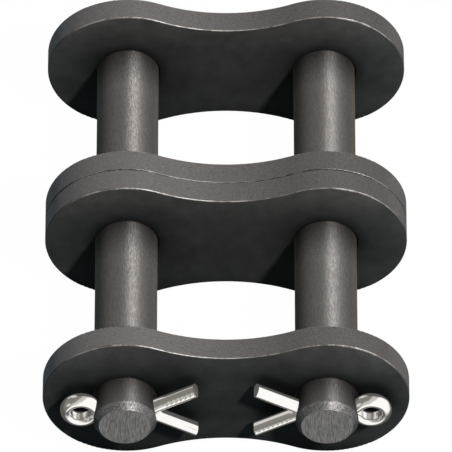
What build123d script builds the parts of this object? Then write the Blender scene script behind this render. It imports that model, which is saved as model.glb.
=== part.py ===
from build123d import *
import math
import os

# Connecting link of a double-strand roller chain, cotter type, in millimetres.
# X runs along the plates, Y along the pins with the cotters at the -Y end, and Z is up.
# The link stands on the lower edges of its plates, and the origin is on that ground,
# under the middle of its overall length and depth.

# Chain size
PITCH = 25.4  # between the two pin axes
STRAND_GAP = 22.9  # clear width between the plates of each strand

# Plates
PLATE_THICKNESS = 3.2
PLATE_HEIGHT = 20.8
WAIST_HEIGHT = 15.6
PLATE_EDGE_RADIUS = 0.15  # tumbled outer edges
BORE_CHAMFER = 0.2  # left out behind the rear plate, where the pins are riveted over

# Pins
PIN_DIAMETER = 7.94
SLIP_CLEARANCE = 0.05  # radial, in the three loose plates
PRESS_INTERFERENCE = 0.01  # radial, in the rear plate
MOUTH_TO_TAPER = 0.06  # plain land between the cross hole's mouth and the taper
TIP_TAPER_LENGTH = 0.91
TIP_TAPER_DEPTH = 0.68

# Riveted rear ends of the pins
RIVET_HEIGHT = 1.6
RIVET_FLARE = 0.35  # how far the spread rim overhangs the shank
RIVET_SHOULDER = 0.2  # radial drop from the spread rim to half the head's height
RIVET_FACE_RADIUS = 3.4
RIVET_DISH_RADIUS = 2.0
RIVET_DISH_DEPTH = 0.45

# Cotter pins, bent from half-round wire with the flats facing each other
WIRE_WIDTH = 2.0
WIRE_THICKNESS = 1.3
WIRE_CORNER_RADIUS = 0.52
LARGEST_CORNER = 0.45  # of the wire's thickness
LEG_GAP = 0.06  # between the flats inside the pin
LEG_SPREAD = 30.2  # degrees, each leg from the hole's axis
LEG_REACH = 9.2  # from the pin's axis to the tips, along X
EYE_RADIUS = 1.31  # inside the eye
BEND_CREST_RADIUS = 0.3  # on the tight side of each bend
COTTER_TO_PLATE = 0.82

# Cross holes for the cotters
CROSS_HOLE_CLEARANCE = 0.09  # radial, around both legs together
CROSS_HOLE_CHAMFER = 0.39
COTTER_CLEARANCE = 0.05  # between the bent wire and the hole's mouths

RADIUS_MATCH = 1e-6  # how near a bore's radius is to the one asked for

# Places along the pins, counted from the joint between the two middle plates
pin_radius = PIN_DIAMETER / 2
inner_face = PLATE_THICKNESS + STRAND_GAP
outer_face = inner_face + PLATE_THICKNESS
cotter_depth = outer_face + COTTER_TO_PLATE + WIRE_WIDTH / 2
hole_radius = max(WIRE_WIDTH / 2, WIRE_THICKNESS + LEG_GAP / 2) + CROSS_HOLE_CLEARANCE
taper_depth = cotter_depth + hole_radius + CROSS_HOLE_CHAMFER + MOUTH_TO_TAPER
front_reach = taper_depth + TIP_TAPER_LENGTH
rear_reach = outer_face + RIVET_HEIGHT

# Places in the part's frame
middle_y = (front_reach - rear_reach) / 2
axis_z = PLATE_HEIGHT / 2
pin_x = PITCH / 2
cotter_y = middle_y - cotter_depth

# Corners of a cross hole's mouth, as (distance from the pin's axis, height above the hole's axis)
hole_edge_angle = math.asin(hole_radius / pin_radius)
mouth_angle = hole_edge_angle + CROSS_HOLE_CHAMFER / pin_radius
mouth_rim = (pin_radius * math.cos(mouth_angle), pin_radius * math.sin(mouth_angle))
mouth_throat = (pin_radius * math.cos(hole_edge_angle) - CROSS_HOLE_CHAMFER, hole_radius)


def plate_outline():
    """Two round ends about the pin axes, joined by hollow waist arcs tangent to both."""
    end_radius = PLATE_HEIGHT / 2
    waist = WAIST_HEIGHT / 2
    waist_radius = (pin_x**2 + waist**2 - end_radius**2) / (2 * (end_radius - waist))
    share = end_radius / (end_radius + waist_radius)
    tangent_x = pin_x * (1 - share)
    tangent_z = (waist + waist_radius) * share
    end_x = pin_x + end_radius
    arcs = [
        ThreePointArc((-tangent_x, tangent_z), (0, waist), (tangent_x, tangent_z)),
        ThreePointArc((tangent_x, tangent_z), (end_x, 0), (tangent_x, -tangent_z)),
        ThreePointArc((tangent_x, -tangent_z), (0, -waist), (-tangent_x, -tangent_z)),
        ThreePointArc((-tangent_x, -tangent_z), (-end_x, 0), (-tangent_x, tangent_z)),
    ]
    return make_face(Curve() + arcs)


def bore_mouths(solid, radius):
    """The edges at both ends of the round bores of that radius."""
    bores = solid.faces().filter_by(GeomType.CYLINDER)
    bores = bores.filter_by(lambda bore: abs(bore.radius - radius) < RADIUS_MATCH)
    return bores.edges().filter_by(GeomType.LINE, reverse=True)


def link_plate(back, bore_radius, riveted=False):
    """A plate whose rear face lies `back` behind the joint of the middle plates."""
    face = Plane((0, middle_y + back, axis_z), x_dir=(1, 0, 0), z_dir=(0, -1, 0))
    plate = extrude(face * plate_outline(), PLATE_THICKNESS)
    rims = plate.edges().filter_by(Axis.Y, reverse=True)
    plate = fillet(rims, PLATE_EDGE_RADIUS)
    for x in (-pin_x, pin_x):
        plate -= extrude(face * Pos(x, 0) * Circle(bore_radius), PLATE_THICKNESS)
    mouths = bore_mouths(plate, bore_radius)
    if riveted:
        mouths = mouths.group_by(Axis.Y)[0]
    return chamfer(mouths, BORE_CHAMFER)


def pin_profile():
    """Half section of a pin as (radius, place along the pin), from the tip to the riveted head."""
    front = (0, -front_reach)
    rear = (0, rear_reach)
    tip = (pin_radius - TIP_TAPER_DEPTH, -front_reach)
    shoulder = (pin_radius, -taper_depth)
    rivet_base = (pin_radius, outer_face)
    rim = (pin_radius + RIVET_FLARE, outer_face)
    head_middle = (rim[0] - RIVET_SHOULDER, outer_face + RIVET_HEIGHT / 2)
    head_edge = (RIVET_FACE_RADIUS, rear_reach)
    lines = [
        Polyline(rear, front, tip, shoulder, rivet_base, rim),
        ThreePointArc(rim, head_middle, head_edge),
        Line(head_edge, rear),
    ]
    return make_face(Curve() + lines)


def chain_pin(x):
    """A turned pin with a tapered tip, a chamfered cross hole and a dished, riveted rear end."""
    # Turned so that the seam of its round faces keeps clear of the cross hole
    pin = Rot(0, 90, 0) * revolve(pin_profile(), Axis.Y)
    dish_sphere = (RIVET_DISH_RADIUS**2 + RIVET_DISH_DEPTH**2) / (2 * RIVET_DISH_DEPTH)
    pin -= Pos(0, rear_reach - RIVET_DISH_DEPTH + dish_sphere, 0) * Sphere(dish_sphere)
    across = Plane((0, -cotter_depth, 0), x_dir=(0, 1, 0), z_dir=(1, 0, 0))
    pin -= extrude(across * Circle(hole_radius), PIN_DIAMETER, both=True)
    pin = chamfer(bore_mouths(pin, hole_radius), CROSS_HOLE_CHAMFER)
    return Pos(x, middle_y, axis_z) * pin


def wire_section():
    """Half-round section, flat along x with round corners, and bulging towards +y."""
    corner = min(WIRE_CORNER_RADIUS, LARGEST_CORNER * WIRE_THICKNESS)
    side = WIRE_WIDTH / 2 - corner
    rise = WIRE_THICKNESS - corner
    crown_radius = (side**2 + rise**2 - corner**2) / (2 * (rise - corner))
    crown_y = WIRE_THICKNESS - crown_radius
    # The crown meets each corner in line with both their centres
    share = crown_radius / (crown_radius - corner)
    meet = (side * share, crown_y + (corner - crown_y) * share)
    arcs = [
        Line((-side, 0), (side, 0)),
        ThreePointArc((side, 0), (side + corner, corner), meet),
        ThreePointArc(meet, (0, WIRE_THICKNESS), (-meet[0], meet[1])),
        ThreePointArc((-meet[0], meet[1]), (-side - corner, corner), (-side, 0)),
    ]
    return make_face(Curve() + arcs)


def cotter_path():
    """The wire's flat side from one tip round the eye to the other, in the hole's X-Z plane.

    The origin is on the pin's axis and the eye lies towards -X.
    """
    spread = math.radians(LEG_SPREAD)
    flat = LEG_GAP / 2
    bend = WIRE_THICKNESS + BEND_CREST_RADIUS

    # The legs start to spread where their backs just clear the throat of the mouth
    throat_x, throat_z = mouth_throat
    room = (throat_z - flat - bend) * math.cos(spread) + BEND_CREST_RADIUS - COTTER_CLEARANCE
    spread_x = throat_x - room / math.sin(spread)
    bend_end = (spread_x + bend * math.sin(spread), flat + bend * (1 - math.cos(spread)))
    bend_middle = (
        spread_x + bend * math.sin(spread / 2),
        flat + bend * (1 - math.cos(spread / 2)),
    )
    tip = (LEG_REACH, bend_end[1] + (LEG_REACH - bend_end[0]) * math.tan(spread))

    # The eye's outside rests just clear of the mouth's rim and throat
    eye_outside = EYE_RADIUS + WIRE_THICKNESS + COTTER_CLEARANCE
    eye_x = -max(x + math.sqrt(eye_outside**2 - z**2) for x, z in (mouth_rim, mouth_throat))
    neck_height = flat + bend
    neck_x = eye_x + math.sqrt((EYE_RADIUS + bend) ** 2 - neck_height**2)
    eye_angle = math.atan2(neck_height, neck_x - eye_x)
    eye_start = (
        eye_x + EYE_RADIUS * math.cos(eye_angle),
        EYE_RADIUS * math.sin(eye_angle),
    )
    turn = (math.pi / 2 - eye_angle) / 2
    neck_middle = (neck_x - bend * math.sin(turn), neck_height - bend * math.cos(turn))

    def below(point):
        return (point[0], -point[1])

    upper = [
        Line(tip, bend_end),
        ThreePointArc(bend_end, bend_middle, (spread_x, flat)),
        Line((spread_x, flat), (neck_x, flat)),
        ThreePointArc((neck_x, flat), neck_middle, eye_start),
    ]
    eye = ThreePointArc(eye_start, (eye_x - EYE_RADIUS, 0), below(eye_start))
    lower = [
        ThreePointArc(below(eye_start), below(neck_middle), (neck_x, -flat)),
        Line((neck_x, -flat), (spread_x, -flat)),
        ThreePointArc((spread_x, -flat), below(bend_middle), below(bend_end)),
        Line(below(bend_end), below(tip)),
    ]
    return Wire((Plane.XZ * (Curve() + [*upper, eye, *lower])).edges())


def cotter_pin(x, turn):
    """A bent cotter through the pin at x, with its eye towards -X when turn is 0."""
    path = cotter_path()
    along = path % 0
    section_plane = Plane(path @ 0, x_dir=(0, -1, 0), z_dir=along)
    cotter = sweep(section_plane * wire_section(), path=path)
    return Pos(x, cotter_y, axis_z) * Rot(0, 0, turn) * cotter


slip_radius = pin_radius + SLIP_CLEARANCE
press_radius = pin_radius - PRESS_INTERFERENCE

nodes = {
    "rear_plate": link_plate(outer_face, press_radius, riveted=True),
    "middle_plate_rear": link_plate(PLATE_THICKNESS, slip_radius),
    "middle_plate_front": link_plate(0, slip_radius),
    "cover_plate": link_plate(-inner_face, slip_radius),
    "pin_left": chain_pin(-pin_x),
    "pin_right": chain_pin(pin_x),
    "cotter_pin_left": cotter_pin(-pin_x, 0),
    "cotter_pin_right": cotter_pin(pin_x, 180),
}

os.makedirs("parts", exist_ok=True)
for name, shape in nodes.items():
    shape.label = name
    export_step(shape, f"parts/{name}.step")
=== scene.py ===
"""Looks of the double-strand roller chain connecting link. All lengths are in metres."""

import math

import bpy
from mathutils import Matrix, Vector


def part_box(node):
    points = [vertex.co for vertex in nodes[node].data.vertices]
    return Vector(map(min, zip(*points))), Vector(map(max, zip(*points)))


MM = 0.001

# Camera: a long lens that looks along +Y and down, square to the link
CAMERA_ELEVATION = math.radians(48.96)
CAMERA_DISTANCE = 1.233
TARGET = Vector((0, 1.01 * MM, 10.4 * MM))  # what the camera and the lamps look at
IMAGE_PIXELS = 452
FOCAL_PIXELS = 9644
SENSOR_WIDTH = 36

# Stage. Seen means seen by the eye or in a reflection, and bounced means light on other surfaces.
FLOOR_SIZE = 20
FLOOR_SEEN = (0.9, 0.9, 0.9, 1)
FLOOR_BOUNCED = (0.14, 0.195, 0.24, 1)
FLOOR_GLOW = 0.99  # share of the floor that is plain white to the eye, so its shadow stays faint
PURE_WHITE = (1, 1, 1, 1)
SKY_BOUNCED = (0.088, 0.121, 0.138, 1)

# The room that reflections show. Each patch of it is round and has a soft edge, given by the
# cosine of the angle from its middle where it starts and where it is full. Directions point
# from the link outward. Later rows lie over earlier ones, and a row with two patches fills
# only what they share.
FRONT = Vector((0.15, -0.466, 0.92))
RIGHT = Vector((0.85, -0.4, -0.347))
BACK = Vector((0, 1, 0))
WINDOW_EDGES = (math.cos(math.radians(14)), math.cos(math.radians(11.5)))
WHITE_COLOUR = (1, 0.995, 0.97, 1)
WINDOW_COLOUR = (0.66, 0.65, 0.62, 1)
PALE_COLOUR = (0.57, 0.55, 0.51, 1)
GREY_COLOUR = (0.21, 0.202, 0.182, 1)
DARK_COLOUR = (0.1, 0.098, 0.09, 1)
ROOM = (
    (GREY_COLOUR, ((FRONT, (-0.6, -0.1)),)),
    (PALE_COLOUR, ((RIGHT, (-0.55, -0.25)), (FRONT, (0.0, 0.6)))),
    (WHITE_COLOUR, ((RIGHT, (-0.05, 0.15)), (FRONT, (-0.55, -0.05)))),
    (DARK_COLOUR, ((BACK, (0.66, 0.76)),)),
    (WINDOW_COLOUR, ((Vector((-0.52, 0.83, 0.2)), WINDOW_EDGES),)),
    (WINDOW_COLOUR, ((Vector((-0.45, 0.74, 0.5)), WINDOW_EDGES),)),
    (WINDOW_COLOUR, ((Vector((-0.85, -0.45, 0.2)), WINDOW_EDGES),)),
)

# Lamps. Directions point from the link to the lamp.
LAMP_DISTANCE = 1.2
KEY = {
    "direction": Vector((0.4, -0.5, 0.76)),
    "size": 0.12,
    "watts": 12,
    "colour": (1, 0.95, 0.92),
}
FILL = {"direction": Vector((0, 1, 0.12)), "size": 0.8, "watts": 5, "colour": (1, 1, 1)}
SOFTBOX = {
    "direction": Vector((0.315, 0.655, 0.685)),
    "size": 0.42,
    "watts": 8.6,
    "colour": (1, 0.972, 0.965),
}

# Surfaces. A pair of lengths or of normal parts is where something starts and where it is full.
# A pair of shades or colours goes with the two ends of such a pair, or with the low and the high
# parts of a noise.
MATT_SPECULAR = 0.03
FILM_TINT = (0.1, 0.1, 0.1, 1)
# Painted shade: an occlusion node darkens colours in corners and where parts meet
CORNER_SHADE_COLOUR = (0.001, 0.0012, 0.0015, 1)
CORNER_SHADE = (6 * MM, 2.1)  # painted shade in corners: how far it spreads out of a corner, and how dense it is
DEEP_CORNER_SHADE = (1.6 * MM, 1.3)

# Blackened plates. Facing is how far a surface turns to the front or back.
FACE_FACING = (0.9, 0.99)
RIM_FACING = (0.08, 0.3)
BORE_EDGE = (4.3 * MM, 4.6 * MM)  # past the bores' chamfers, from a pin's axis
RUBBED_AND_LIT_LEFT = (-21.5 * MM, -16.5 * MM)  # the rim is worn bright between these ends, and painted into shade beyond them
RUBBED_AND_LIT_RIGHT = (23.4 * MM, 20 * MM)
FACE_FOOT = (0.048, 0.051, 0.05, 1)
FACE_HEIGHT_SHADES = (  # painted light and shade by height above the foot: darkest low down, lighter towards the top; each with the heights over which it comes in
    ((2 * MM, 7 * MM), (0.034, 0.0365, 0.0355, 1)),
    ((7 * MM, 12 * MM), (0.0425, 0.0453, 0.0442, 1)),
    ((13 * MM, 21 * MM), (0.076, 0.074, 0.0725, 1)),
)
LOBES = (5 * MM, 19 * MM)  # from the middle out, over which the faces get painted light towards the lobes
LOBE_SHADES = (0.94, 1.24)
ACROSS = (-20 * MM, 20 * MM)  # from left to right, over which faces and walls get painted light and shade
# Painted light and shade: the faces get lighter to the right, the walls darker
FACE_SHADES = (0.9, 1.2)
WALL_SHADES = (1.09, 0.69)
# Painted light: the walls are lighter at the link's outer ends
END_WALLS = (19.5 * MM, 22.5 * MM)
END_SHADES = (1.0, 1.35)
GRAIN = {"scale": 5000, "detail": 2}
GRAIN_STEP = (0.25, 0.75)
GRAIN_BUMP = {"strength": 0.2, "distance": 0.02 * MM}
CLOUDS = {"scale": 130, "detail": 2, "roughness": 0.6}
CLOUD_SHADES = (0.7, 1.3)
BLOTCHES = {"scale": 520, "detail": 4, "roughness": 0.65}
BLOTCH_SHADES = (0.6, 1.4)
WALL_COLOURS = ((0.152, 0.1435, 0.14, 1), (0.233, 0.22, 0.215, 1))
RIM_WEAR = {"scale": 900}
RIM_WEAR_STEP = (0.35, 0.6)
RIM_COLOURS = ((0.15, 0.145, 0.14, 1), (0.33, 0.322, 0.31, 1))
RIM_FADE = (-18 * MM, -6 * MM)  # painted highlight: the rim is brighter towards the left end
RIM_SHADES = (1.8, 1.0)
BLACK_RIM = (0.05, 0.05, 0.049, 1)  # beyond the worn part: less wear, and painted shade
PLATE_SHEEN = {"scale": 700}
PLATE_ROUGHNESS = (0.42, 0.58)

# Ground pins. A stretch below 1 draws a noise out along that axis.
END_FACING = (0.75, 0.9)
TAPER_FACING = (0.1, 0.25)
SHANK_STREAKS = {"scale": 5600, "roughness": 0.7, "stretch": (1, 0.25, 1)}
END_STREAKS = {"scale": 6800, "roughness": 0.65, "stretch": (1, 1, 0.14)}
STREAK_STEP = (0.3, 0.7)
STREAK_BUMP = {"strength": 0.42, "distance": 0.02 * MM}
PEEL = {"scale": 6000, "detail": 2, "stretch": (1, 0.35, 1)}
PEEL_BUMP = {"strength": 0.48, "distance": 0.03 * MM}
SHANK_COLOURS = ((0.152, 0.1445, 0.139, 1), (0.208, 0.198, 0.188, 1))
TAPER_COLOURS = ((0.078, 0.077, 0.077, 1), (0.25, 0.25, 0.252, 1))
END_COLOURS = ((0.178, 0.174, 0.169, 1), (0.382, 0.371, 0.36, 1))
RIGHT_SIDE = (0.4, 0.75)  # of the shank, by its normal, painted into shade
RIGHT_SHADES = (1.0, 0.77)
EDGE_FACING = (0.79, 0.98)  # the shank's left and right edges, painted lighter
EDGE_PAINTED_LIGHT = ((1, 1, 1, 1), (1.6, 1.5, 1.38, 1))
PIN_ROUGHNESS = (0.46, 0.37)
PIN_METAL = (0.33, 0.46)  # off the taper and on it

# Bright cotters
WIRE_WEAR = {"scale": 1200}
WIRE_WEAR_BUMP = {"strength": 0.1, "distance": 0.02 * MM}
WIRE_COLOURS = ((0.94, 0.935, 0.92, 1), (1.0, 0.995, 0.98, 1))
WIRE_ROUGHNESS = (0.07, 0.15)
LEG_START = (4.2 * MM, 5.2 * MM)  # from the pin's axis towards the middle of the link
FRONT_FACING = (-0.3, -0.7)
REAR_HALF = (-0.02 * MM, 0.18 * MM)  # behind the middle of the wire
MARK_LENGTH = 0.58 * MM  # from one mark on the wire to the next, along X
MARK_SLANT = 0.75  # how far the marks lean along X for each step along Y
MARK_TILT = 0.11  # how far the marks tip the wire's surface to and fro
ROLL = 0.24  # how far the legs' rear edge is rolled over
DENTS = {"scale": 650, "detail": 1}
DENT_BUMP = {"strength": 0.5, "distance": 0.2 * MM}

# The link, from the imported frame
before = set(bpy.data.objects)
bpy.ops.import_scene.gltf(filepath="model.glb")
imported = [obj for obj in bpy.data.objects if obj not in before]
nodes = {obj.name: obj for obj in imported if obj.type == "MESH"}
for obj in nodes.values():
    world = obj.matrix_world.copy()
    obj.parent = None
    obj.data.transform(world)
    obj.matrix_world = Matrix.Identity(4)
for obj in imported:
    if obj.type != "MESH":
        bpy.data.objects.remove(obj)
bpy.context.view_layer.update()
PLATES = ("rear_plate", "middle_plate_rear", "middle_plate_front", "cover_plate")
PINS = ("pin_left", "pin_right")
COTTERS = ("cotter_pin_left", "cotter_pin_right")
pin_low, pin_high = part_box("pin_right")
pin_x = (pin_low[0] + pin_high[0]) / 2
pin_z = (pin_low[2] + pin_high[2]) / 2
cotter_low, cotter_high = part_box("cotter_pin_right")
cotter_y = (cotter_low[1] + cotter_high[1]) / 2


class Tree:
    """Adds nodes to a shader tree. An input is a plain value or another node's output."""

    def __init__(self, tree):
        self.tree = tree
        self.tree.nodes.clear()

    def node(self, kind, inputs=None, **settings):
        made = self.tree.nodes.new(kind)
        for name, value in settings.items():
            setattr(made, name, value)
        for name, value in (inputs or {}).items():
            if isinstance(value, bpy.types.NodeSocket):
                self.tree.links.new(value, made.inputs[name])
            else:
                made.inputs[name].default_value = value
        return made

    def math(self, operation, a, b=0.0):
        return self.node("ShaderNodeMath", {0: a, 1: b}, operation=operation).outputs[0]

    def vector_math(self, operation, a, b=(0, 0, 0)):
        made = self.node("ShaderNodeVectorMath", {0: a, 1: b}, operation=operation)
        return made.outputs["Vector"]

    def product(self, first, *others):
        for other in others:
            first = self.math("MULTIPLY", first, other)
        return first

    def step(self, value, low, high):
        """0 below low, 1 above high, and smooth between them."""
        inputs = {"Value": value, "From Min": low, "From Max": high}
        made = self.node("ShaderNodeMapRange", inputs, interpolation_type="SMOOTHSTEP")
        return made.outputs["Result"]

    def span(self, value, low, high, start=0.0, end=1.0):
        """Maps start to end, 0 to 1 unless given, onto low to high."""
        inputs = {"Value": value, "From Min": start, "From Max": end, "To Min": low, "To Max": high}
        return self.node("ShaderNodeMapRange", inputs).outputs["Result"]

    def mix(self, factor, a, b):
        """A blend of two colours. The mix node keeps its colour sockets after its float ones."""
        inputs = {0: factor, 6: a, 7: b}
        return self.node("ShaderNodeMix", inputs, data_type="RGBA").outputs[2]

    def scaled(self, vector, scale):
        return self.vector_math("MULTIPLY", vector, scale)

    def noise(self, vector, scale, detail=3.0, roughness=0.5, stretch=None):
        if stretch is not None:
            vector = self.scaled(vector, stretch)
        inputs = {"Vector": vector, "Scale": scale, "Detail": detail, "Roughness": roughness}
        return self.node("ShaderNodeTexNoise", inputs).outputs["Fac"]

    def bump(self, height, strength, distance, normal=None):
        inputs = {"Height": height, "Strength": strength, "Distance": distance}
        if normal is not None:
            inputs["Normal"] = normal
        return self.node("ShaderNodeBump", inputs).outputs["Normal"]

    def parts(self, vector):
        return self.node("ShaderNodeSeparateXYZ", {"Vector": vector}).outputs

    def place_and_normal(self):
        """Where a point is in the part's frame, and which way its surface faces there."""
        coordinates = self.node("ShaderNodeTexCoord").outputs
        return coordinates["Object"], coordinates["Normal"]

    def shaded(self, colour, value, reach, shades):
        """The colour, from the first shade to the second one, evenly over the reach."""
        return self.scaled(colour, self.span(value, *shades, *reach))

    def softly_shaded(self, colour, value, reach, shades):
        """As above, with a soft start and end."""
        return self.scaled(colour, self.span(self.step(value, *reach), *shades))

    def painted_corner_shade(self, colour, *layers):
        """The colour with painted shade, darker in the corners where one piece meets another."""
        for reach, density in layers:
            open_sky = self.node("ShaderNodeAmbientOcclusion", {"Distance": reach}, samples=8)
            unshaded = self.math("POWER", open_sky.outputs["AO"], density)
            colour = self.mix(unshaded, CORNER_SHADE_COLOUR, colour)
        return colour

    def from_pins(self, place):
        """Distance from the nearer pin's axis."""
        parts = self.parts(place)
        x = self.math("SUBTRACT", self.math("ABSOLUTE", parts["X"]), pin_x)
        z = self.math("SUBTRACT", parts["Z"], pin_z)
        squares = self.math("ADD", self.math("POWER", x, 2.0), self.math("POWER", z, 2.0))
        return self.math("SQRT", squares)


def new_material(name):
    material = bpy.data.materials.new(name)
    material.use_nodes = True
    return material, Tree(material.node_tree)


def surface(tree, **inputs):
    """Joins a Principled shader to the output. Names are written with _ for spaces."""
    named = {name.replace("_", " "): value for name, value in inputs.items()}
    shader = tree.node("ShaderNodeBsdfPrincipled", named)
    tree.node("ShaderNodeOutputMaterial", {"Surface": shader.outputs[0]})


def blackened_plate():
    """Black oxide: dark rolled faces, greyer sheared walls and a worn bright rim, under painted
    light and shade.
    """
    material, tree = new_material("blackened_plate")
    place, normal = tree.place_and_normal()
    across, _, height = tree.parts(place)
    outward = tree.math("ABSOLUTE", across)
    facing = tree.math("ABSOLUTE", tree.parts(normal)["Y"])
    on_face = tree.step(facing, *FACE_FACING)
    on_rim = tree.product(
        tree.step(facing, *RIM_FACING),
        tree.math("SUBTRACT", 1.0, on_face),
        tree.step(tree.from_pins(place), *BORE_EDGE),
    )
    rubbed_and_lit = tree.product(tree.step(across, *RUBBED_AND_LIT_LEFT), tree.step(across, *RUBBED_AND_LIT_RIGHT))
    grain = tree.noise(place, **GRAIN)

    # Painted light and shade on the faces: by height, out to the lobes, and from left to right
    face = FACE_FOOT
    for heights, height_shade in FACE_HEIGHT_SHADES:
        face = tree.mix(tree.step(height, *heights), face, height_shade)
    face = tree.softly_shaded(face, outward, LOBES, LOBE_SHADES)
    face = tree.shaded(face, across, ACROSS, FACE_SHADES)
    clouds = tree.span(tree.noise(place, **CLOUDS), *CLOUD_SHADES)
    blotches = tree.span(tree.noise(place, **BLOTCHES), *BLOTCH_SHADES)
    face = tree.scaled(face, tree.product(clouds, blotches))

    wall = tree.mix(tree.step(grain, *GRAIN_STEP), *WALL_COLOURS)
    # Painted light on the walls: lighter to the left and at the outer ends
    wall = tree.shaded(wall, across, ACROSS, WALL_SHADES)
    wall = tree.softly_shaded(wall, outward, END_WALLS, END_SHADES)

    wear = tree.step(tree.noise(place, **RIM_WEAR), *RIM_WEAR_STEP)
    # The rim's wear, with a painted highlight towards the left end
    rim = tree.shaded(tree.mix(wear, *RIM_COLOURS), across, RIM_FADE, RIM_SHADES)
    # The rim's ends go black: partly less wear, partly painted shade
    rim = tree.mix(rubbed_and_lit, BLACK_RIM, rim)

    colour = tree.mix(on_face, tree.mix(on_rim, wall, rim), face)
    surface(
        tree,
        Base_Color=tree.painted_corner_shade(colour, CORNER_SHADE, DEEP_CORNER_SHADE),
        Metallic=on_rim,
        Roughness=tree.span(tree.noise(place, **PLATE_SHEEN), *PLATE_ROUGHNESS),
        Specular_IOR_Level=MATT_SPECULAR,
        Normal=tree.bump(grain, **GRAIN_BUMP),
    )
    return material


def ground_pin():
    """Hardened steel under a dark film, streaked along the shank and across the ends; painted light
    and shade lie on it.
    """
    material, tree = new_material("ground_pin")
    place, normal = tree.place_and_normal()
    side, depth, _ = tree.parts(normal)
    facing = tree.math("ABSOLUTE", depth)
    on_end = tree.step(facing, *END_FACING)
    on_taper = tree.math("SUBTRACT", tree.step(facing, *TAPER_FACING), on_end)
    along = tree.noise(place, **SHANK_STREAKS)
    across = tree.noise(place, **END_STREAKS)
    streaks = tree.node("ShaderNodeSeparateColor", {"Color": tree.mix(on_end, along, across)})
    streak = tree.step(streaks.outputs["Red"], *STREAK_STEP)

    shank = tree.mix(streak, *SHANK_COLOURS)
    # Painted shade on the shank's right side
    shank = tree.softly_shaded(shank, side, RIGHT_SIDE, RIGHT_SHADES)
    # Painted light on the shank's left and right edges
    edge = tree.step(tree.math("ABSOLUTE", side), *EDGE_FACING)
    shank = tree.scaled(shank, tree.mix(edge, *EDGE_PAINTED_LIGHT))
    taper = tree.mix(streak, *TAPER_COLOURS)
    end = tree.mix(streak, *END_COLOURS)
    colour = tree.mix(on_end, tree.mix(on_taper, shank, taper), end)

    peel = tree.bump(tree.noise(place, **PEEL), **PEEL_BUMP)
    surface(
        tree,
        Base_Color=tree.painted_corner_shade(colour, CORNER_SHADE),
        Metallic=tree.span(on_taper, *PIN_METAL),
        Roughness=tree.span(streak, *PIN_ROUGHNESS),
        Specular_IOR_Level=MATT_SPECULAR,
        Specular_Tint=FILM_TINT,
        Normal=tree.bump(streak, **STREAK_BUMP, normal=peel),
    )
    return material


def bright_cotter():
    """Bright nickel on wire, with slanted drawing marks on the legs and dents on the eye."""
    material, tree = new_material("bright_cotter")
    place, normal = tree.place_and_normal()
    across, depth, _ = tree.parts(place)
    wear = tree.noise(place, **WIRE_WEAR)
    leg_reach = [pin_x - length for length in LEG_START]
    rear_reach = [cotter_y + length for length in REAR_HALF]
    on_leg = tree.step(tree.math("ABSOLUTE", across), *leg_reach)
    off_leg = tree.math("SUBTRACT", 1.0, on_leg)
    on_front = tree.step(tree.parts(normal)["Y"], *FRONT_FACING)
    on_rear = tree.step(depth, *rear_reach)

    slanted = tree.math("SUBTRACT", across, tree.math("MULTIPLY", depth, MARK_SLANT))
    wave = tree.math("SINE", tree.math("MULTIPLY", slanted, 2 * math.pi / MARK_LENGTH))
    marks = tree.product(on_leg, on_front, MARK_TILT, wave)
    roll = tree.product(on_leg, on_rear, ROLL)
    tilt = tree.node("ShaderNodeCombineXYZ", {"X": marks, "Y": roll}).outputs["Vector"]
    world_normal = tree.node("ShaderNodeNewGeometry").outputs["Normal"]
    tipped = tree.vector_math("NORMALIZE", tree.vector_math("ADD", world_normal, tilt))
    dents = tree.product(tree.noise(place, **DENTS), off_leg)
    tipped = tree.bump(dents, **DENT_BUMP, normal=tipped)
    surface(
        tree,
        Base_Color=tree.mix(wear, *WIRE_COLOURS),
        Metallic=1.0,
        Roughness=tree.span(wear, *WIRE_ROUGHNESS),
        Normal=tree.bump(wear, **WIRE_WEAR_BUMP, normal=tipped),
    )
    return material


def dress(names, material):
    for name in names:
        mesh = nodes[name].data
        mesh.materials.clear()
        mesh.materials.append(material)


def seen_rays(tree):
    """Two values: 1 on a ray from the eye, and 1 on one that only metal or glass has turned."""
    path = tree.node("ShaderNodeLightPath").outputs
    turned = tree.math("MAXIMUM", path["Is Glossy Ray"], path["Is Transmission Ray"])
    unscattered = tree.math("LESS_THAN", path["Diffuse Depth"], 0.5)
    return path["Is Camera Ray"], tree.math("MULTIPLY", turned, unscattered)


def add_floor():
    bpy.ops.mesh.primitive_plane_add(size=FLOOR_SIZE, location=(0, 0, 0))
    floor = bpy.context.object
    floor.name = "floor"
    material, tree = new_material("floor")
    direct, mirrored = seen_rays(tree)
    seen = tree.math("MAXIMUM", direct, mirrored)
    colour = tree.mix(seen, FLOOR_BOUNCED, FLOOR_SEEN)
    matt = tree.node("ShaderNodeBsdfDiffuse", {"Color": colour})
    white = tree.node("ShaderNodeEmission", {"Color": PURE_WHITE, "Strength": 1.0})
    share = tree.math("MULTIPLY", direct, FLOOR_GLOW)
    both = tree.node("ShaderNodeMixShader", {0: share, 1: matt.outputs[0], 2: white.outputs[0]})
    tree.node("ShaderNodeOutputMaterial", {"Surface": both.outputs[0]})
    floor.data.materials.append(material)
    floor.visible_glossy = False


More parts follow.
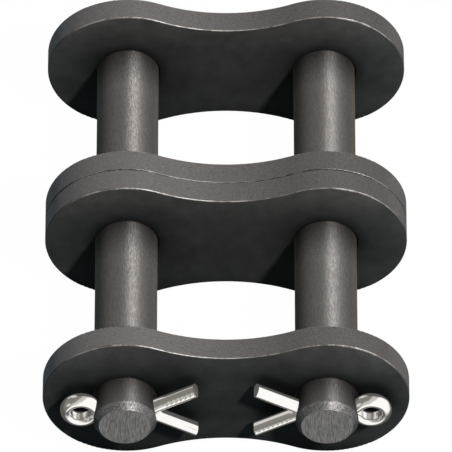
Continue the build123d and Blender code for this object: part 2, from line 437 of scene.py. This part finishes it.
def add_room():
    """Dim blue light on matt surfaces, and the patched room for the eye and for reflections."""
    world = bpy.data.worlds.new("studio")
    world.use_nodes = True
    bpy.context.scene.world = world
    tree = Tree(world.node_tree)
    way = tree.node("ShaderNodeTexCoord").outputs["Generated"]

    def patch(direction, edges):
        """1 inside a round patch of the room, seen from the link."""
        inputs = {0: way, 1: direction.normalized()}
        nearness = tree.node("ShaderNodeVectorMath", inputs, operation="DOT_PRODUCT")
        return tree.step(nearness.outputs["Value"], *edges)

    room = DARK_COLOUR
    for colour, patches in ROOM:
        room = tree.mix(tree.product(*(patch(*each) for each in patches)), room, colour)
    seen = tree.math("MAXIMUM", *seen_rays(tree))
    colour = tree.mix(seen, SKY_BOUNCED, room)
    back = tree.node("ShaderNodeBackground", {"Color": colour, "Strength": 1.0})
    tree.node("ShaderNodeOutputWorld", {"Surface": back.outputs[0]})


def add_lamp(name, direction, size, watts, colour):
    """A round lamp that looks at the link."""
    light = bpy.data.lights.new(name, "AREA")
    light.shape = "DISK"
    light.size = size
    light.energy = watts
    light.color = colour
    lamp = bpy.data.objects.new(name, light)
    way = direction.normalized()
    lamp.location = TARGET + LAMP_DISTANCE * way
    lamp.rotation_euler = way.to_track_quat("Z", "Y").to_euler()
    bpy.context.scene.collection.objects.link(lamp)
    return lamp


def link_light(lamp, collection, names, state):
    """INCLUDE lets the lamp light only these nodes, and EXCLUDE all but these."""
    linked = bpy.data.collections.new(collection)
    for name in names:
        linked.objects.link(nodes[name])
    for each in linked.collection_objects:
        each.light_linking.link_state = state
    lamp.light_linking.receiver_collection = linked


def add_lamps():
    """The key for all but the cotters, a low fill behind, and a softbox for pins and plates.

    The softbox casts no shadow, and shows only in their sheen.
    """
    key = add_lamp("key", **KEY)
    # Mirrored in the cotters, the key would throw bright arcs onto the surfaces around them
    link_light(key, "key_unlit", COTTERS, "EXCLUDE")

    fill = add_lamp("fill", **FILL)
    fill.visible_camera = False
    fill.visible_glossy = False

    softbox = add_lamp("softbox", **SOFTBOX)
    softbox.data.use_shadow = False
    softbox.visible_diffuse = False
    link_light(softbox, "softbox_lit", PINS + PLATES, "INCLUDE")


def add_camera():
    data = bpy.data.cameras.new("camera")
    data.sensor_width = SENSOR_WIDTH
    data.lens = FOCAL_PIXELS / IMAGE_PIXELS * SENSOR_WIDTH
    camera = bpy.data.objects.new("camera", data)
    way = Vector((0, -math.cos(CAMERA_ELEVATION), math.sin(CAMERA_ELEVATION)))
    camera.location = TARGET + CAMERA_DISTANCE * way
    camera.rotation_euler = way.to_track_quat("Z", "Y").to_euler()
    bpy.context.scene.collection.objects.link(camera)
    bpy.context.scene.camera = camera


dress(PLATES, blackened_plate())
dress(PINS, ground_pin())
dress(COTTERS, bright_cotter())
# The cotters mirror the room, and not the dark plates and pins around them
for name in PLATES + PINS:
    nodes[name].visible_glossy = False
add_floor()
add_room()
add_lamps()
add_camera()
bpy.context.scene.view_settings.view_transform = "Standard"
